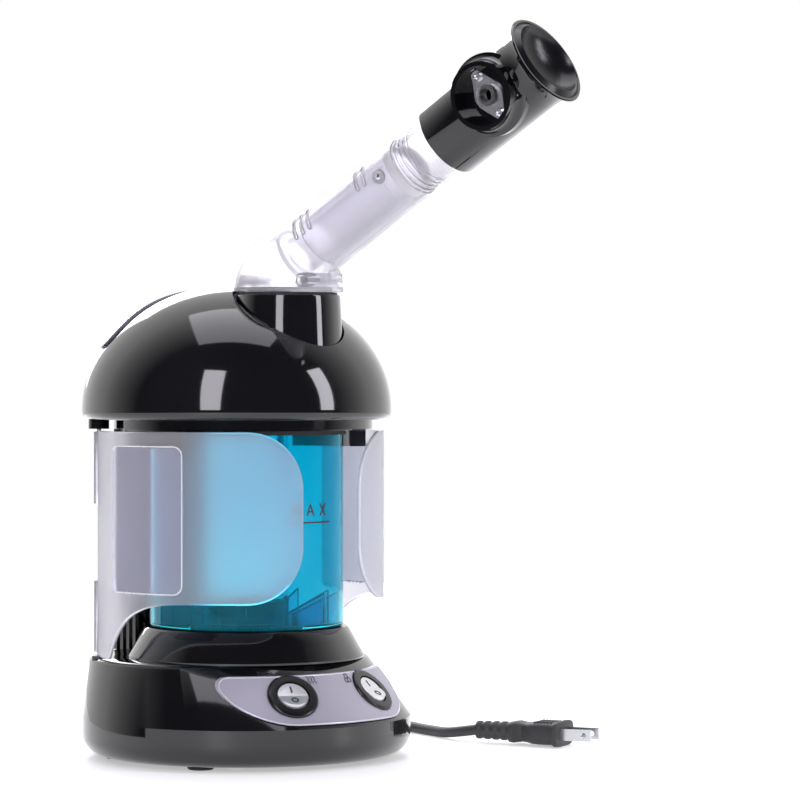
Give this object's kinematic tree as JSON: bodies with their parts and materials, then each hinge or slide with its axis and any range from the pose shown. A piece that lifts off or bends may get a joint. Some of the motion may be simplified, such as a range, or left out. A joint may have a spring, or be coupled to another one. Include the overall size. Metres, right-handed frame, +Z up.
{
  "type": "facial steamer",
  "caption": "Tabletop facial steamer: round base with rocker switches, translucent water tank, hinged frosted shields, black dome and swivelling telescopic clear arm with a turning steam head.",
  "frame": {"origin": "on the base's vertical axis, at the surface the feet stand on", "axes": "+Z up, the switches face -Y, the rear column is at +Y, +X to the right when seen from the front"},
  "size_m": [0.2561, 0.3559, 0.3813],
  "materials": {
    "gloss_black": "glossy moulded black",
    "silver_trim": "satin silver-lavender paint",
    "rubber_black": "matte",
    "steel": "bright zinc plated",
    "rocker_silver": "metallised silver",
    "brass_terminals": "plain",
    "board_green": "solder mask",
    "component_blue": "moulded",
    "transformer_brown": "potted",
    "aluminium_cup": "dark anodised",
    "ceramic": "unglazed",
    "silicone": "translucent silicone",
    "tank_blue": "translucent cyan",
    "frosted_door": "frosted translucent",
    "clear_arm": "clear with a frosted inside",
    "steam_hose": "translucent white",
    "lamp_glass": "clear",
    "white_plastic": "moulded",
    "cord_grey": "matte dark grey"
  },
  "bodies": {
    "base": {"base_tray": "gloss_black", "base_shell": "gloss_black", "rubber_feet": "rubber_black", "base_screws": "steel", "control_panel": "silver_trim", "steam_switch_housing": "gloss_black", "ozone_switch_housing": "gloss_black", "switch_terminals": "brass_terminals", "power_board": "board_green", "board_parts": "component_blue", "ozone_transformer": "transformer_brown", "heater_plate": "aluminium_cup", "thermostat": "ceramic", "thermal_fuse": "ceramic", "boiler_cup": "aluminium_cup", "boiler_gasket": "silicone", "tank_seat": "gloss_black", "water_tank": "tank_blue", "tank_fins": "tank_blue", "tank_gasket": "rubber_black", "tank_retainers": "gloss_black", "rear_column": "gloss_black", "wire_loom": "rubber_black", "dome_base": "gloss_black", "dome_shell": "gloss_black", "dome_rear_cover": "silver_trim", "dome_screws": "steel", "ozone_lamp": "lamp_glass", "lamp_holder": "white_plastic", "steam_funnel": "white_plastic", "neck_ring": "gloss_black", "neck_seal": "rubber_black", "hinge_pins": "steel", "cord_relief": "rubber_black", "cord_lead": "cord_grey", "cord_coil": "cord_grey", "cord_tie": "rubber_black", "cord_tail": "cord_grey", "plug_body": "cord_grey", "plug_blades": "steel"},
    "left_door": {"left_door": "frosted_door"},
    "right_door": {"right_door": "frosted_door"},
    "steam_rocker": {"steam_rocker": "rocker_silver"},
    "ozone_rocker": {"ozone_rocker": "rocker_silver"},
    "arm": {"arm_left_half": "clear_arm", "arm_right_half": "clear_arm", "arm_screws": "steel", "steam_tube": "steam_hose", "arm_bush": "white_plastic"},
    "arm_slide": {"slide_tube": "clear_arm", "head_clip": "white_plastic"},
    "steam_head": {"head_shell": "gloss_black", "head_end_cap": "gloss_black", "port_plate": "steel", "port_screws": "steel", "steam_jet": "steam_hose"}
  },
  "joints": [
    {"name": "left_door_hinge", "type": "hinge", "parent": "base", "child": "left_door", "pos_m": [-0.06388, 0.04617, 0.114], "axis": [0, 0, -1], "range_deg": [0, 75]},
    {"name": "right_door_hinge", "type": "hinge", "parent": "base", "child": "right_door", "pos_m": [0.06388, 0.04617, 0.114], "axis": [0, 0, 1], "range_deg": [0, 75]},
    {"name": "steam_switch", "type": "hinge", "parent": "base", "child": "steam_rocker", "pos_m": [-0.02703, -0.06856, 0.03664], "axis": [0.9426, -0.3338, 0], "range_deg": [0, 16]},
    {"name": "ozone_switch", "type": "hinge", "parent": "base", "child": "ozone_rocker", "pos_m": [0.02703, -0.06856, 0.03664], "axis": [0.9426, 0.3338, 0], "range_deg": [0, 16]},
    {"name": "arm_swivel", "type": "hinge", "parent": "base", "child": "arm", "pos_m": [0, -0.0344, 0.2488], "axis": [0, 0, 1], "continuous": true},
    {"name": "arm_extend", "type": "slide", "parent": "arm", "child": "arm_slide", "axis": [0.166, -0.8382, 0.5195], "range_m": [0, 0.05]},
    {"name": "head_turn", "type": "hinge", "parent": "arm_slide", "child": "steam_head", "pos_m": [0.02406, -0.15594, 0.33653], "axis": [0.166, -0.8382, 0.5195], "continuous": true}
  ]
}
